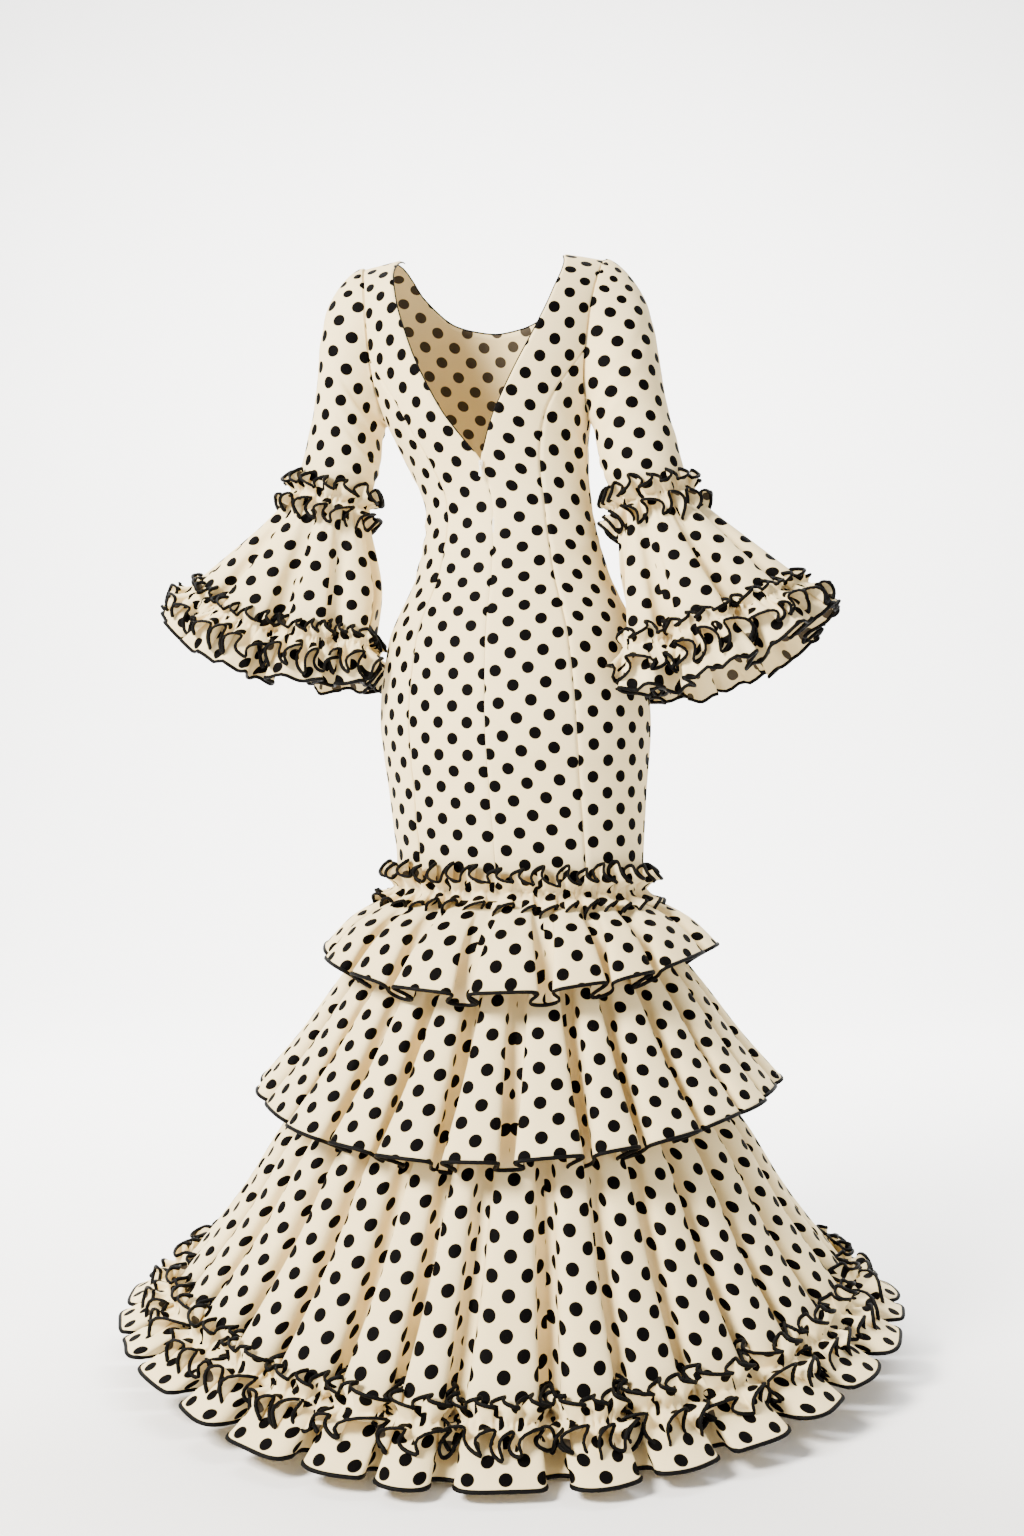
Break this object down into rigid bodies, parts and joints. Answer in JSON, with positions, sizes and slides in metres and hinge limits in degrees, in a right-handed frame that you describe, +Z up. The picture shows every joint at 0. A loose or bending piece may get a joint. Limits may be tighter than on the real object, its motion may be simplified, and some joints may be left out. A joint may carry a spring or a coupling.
{
  "type": "flamenco dress",
  "caption": "Fitted full-length flamenco dress in cream crepe with black dots, low V back, bell sleeves, gathered frills and flounced skirt, in its worn shape, hollow.",
  "frame": {"origin": "middle of the shoulder line, where a wearer carries the dress", "axes": "+Z up, -Y out of the dress's front, +Y out of its back, +X towards the wearer's left"},
  "size_m": [1.0327, 1.0479, 1.4383],
  "materials": {
    "dotted_crepe": "matt crepe, cream with black printed dots and black bound edges",
    "zip_tape": "woven tape, matt",
    "zip_enamel": "cream enamel, satin"
  },
  "bodies": {
    "dress": {"back_centre_left": "dotted_crepe", "back_centre_right": "dotted_crepe", "back_side_left": "dotted_crepe", "back_side_right": "dotted_crepe", "front_side_left": "dotted_crepe", "front_side_right": "dotted_crepe", "front_centre": "dotted_crepe", "sleeve_left": "dotted_crepe", "sleeve_right": "dotted_crepe", "bell_left": "dotted_crepe", "bell_right": "dotted_crepe", "elbow_frill_left": "dotted_crepe", "elbow_frill_right": "dotted_crepe", "cuff_frill_left": "dotted_crepe", "cuff_frill_right": "dotted_crepe", "knee_frill": "dotted_crepe", "tier_upper": "dotted_crepe", "tier_middle": "dotted_crepe", "tier_lower": "dotted_crepe", "hem_frill": "dotted_crepe", "hem_flounce": "dotted_crepe", "zip_tape": "zip_tape", "zip_slider": "zip_enamel"},
    "zip_tab": {"zip_tab": "zip_enamel"}
  },
  "joints": [
    {"name": "zip_tab_hinge", "type": "hinge", "parent": "dress", "child": "zip_tab", "pos_m": [-0.0221, 0.08937, -0.29061], "axis": [1, 0, 0], "range_deg": [0, 150]}
  ]
}
